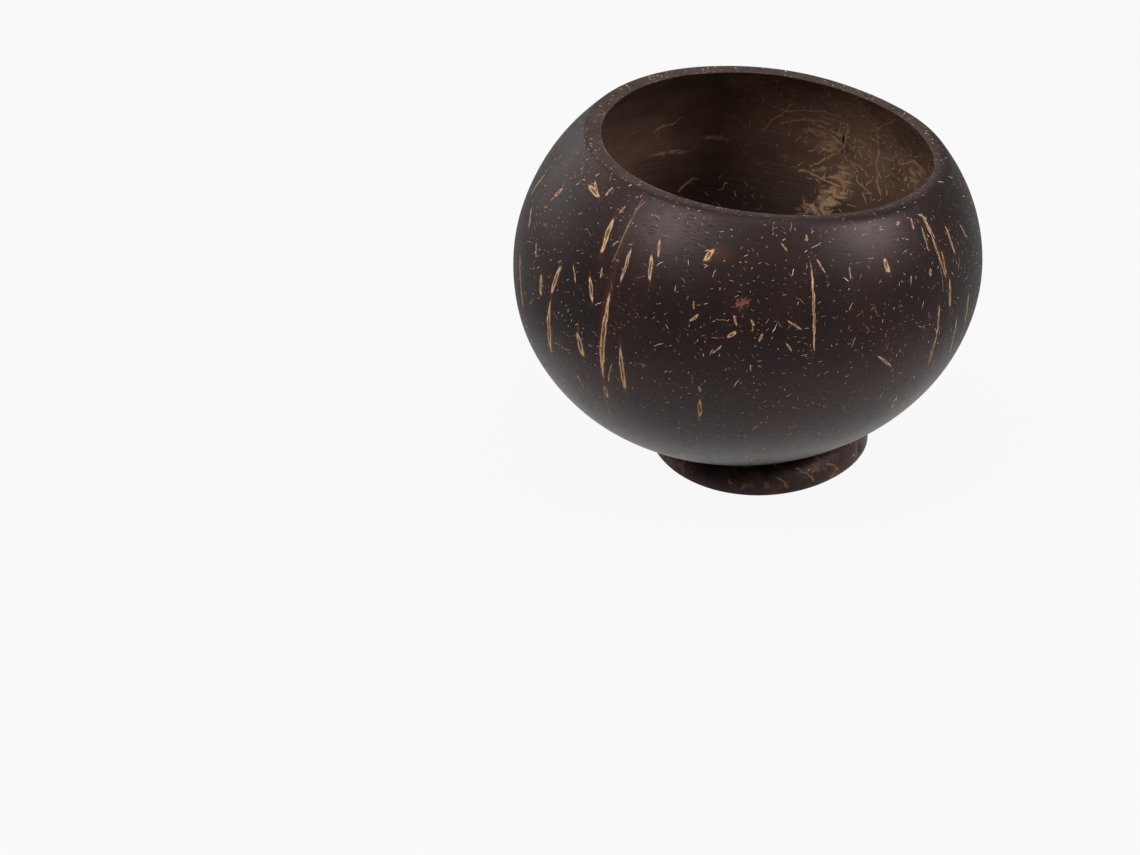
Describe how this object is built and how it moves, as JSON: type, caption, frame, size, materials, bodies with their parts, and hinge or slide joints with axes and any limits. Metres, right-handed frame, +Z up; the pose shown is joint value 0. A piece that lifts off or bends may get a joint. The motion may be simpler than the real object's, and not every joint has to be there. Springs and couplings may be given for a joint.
{
  "type": "coconut cup",
  "caption": "Round drinking cup made from a sawn and polished coconut shell with a wide sanded mouth, glued onto a low ring foot of shell",
  "frame": {"origin": "on the table under the middle of the cup's bounding box", "axes": "+Z up, +X to the right of someone facing the cup's pictured side, +Y away from them; the mouth slopes down towards +X"},
  "size_m": [0.1194, 0.1194, 0.09],
  "materials": {
    "polished_shell": "satin polish over dark shell with pale fibre flecks",
    "foot_shell": "satin, mottled reddish brown with tan veins",
    "glue": "cured dark glue"
  },
  "bodies": {
    "root": {"cup_shell": "polished_shell", "foot_ring": "foot_shell", "glue_bed": "glue"}
  },
  "joints": []
}
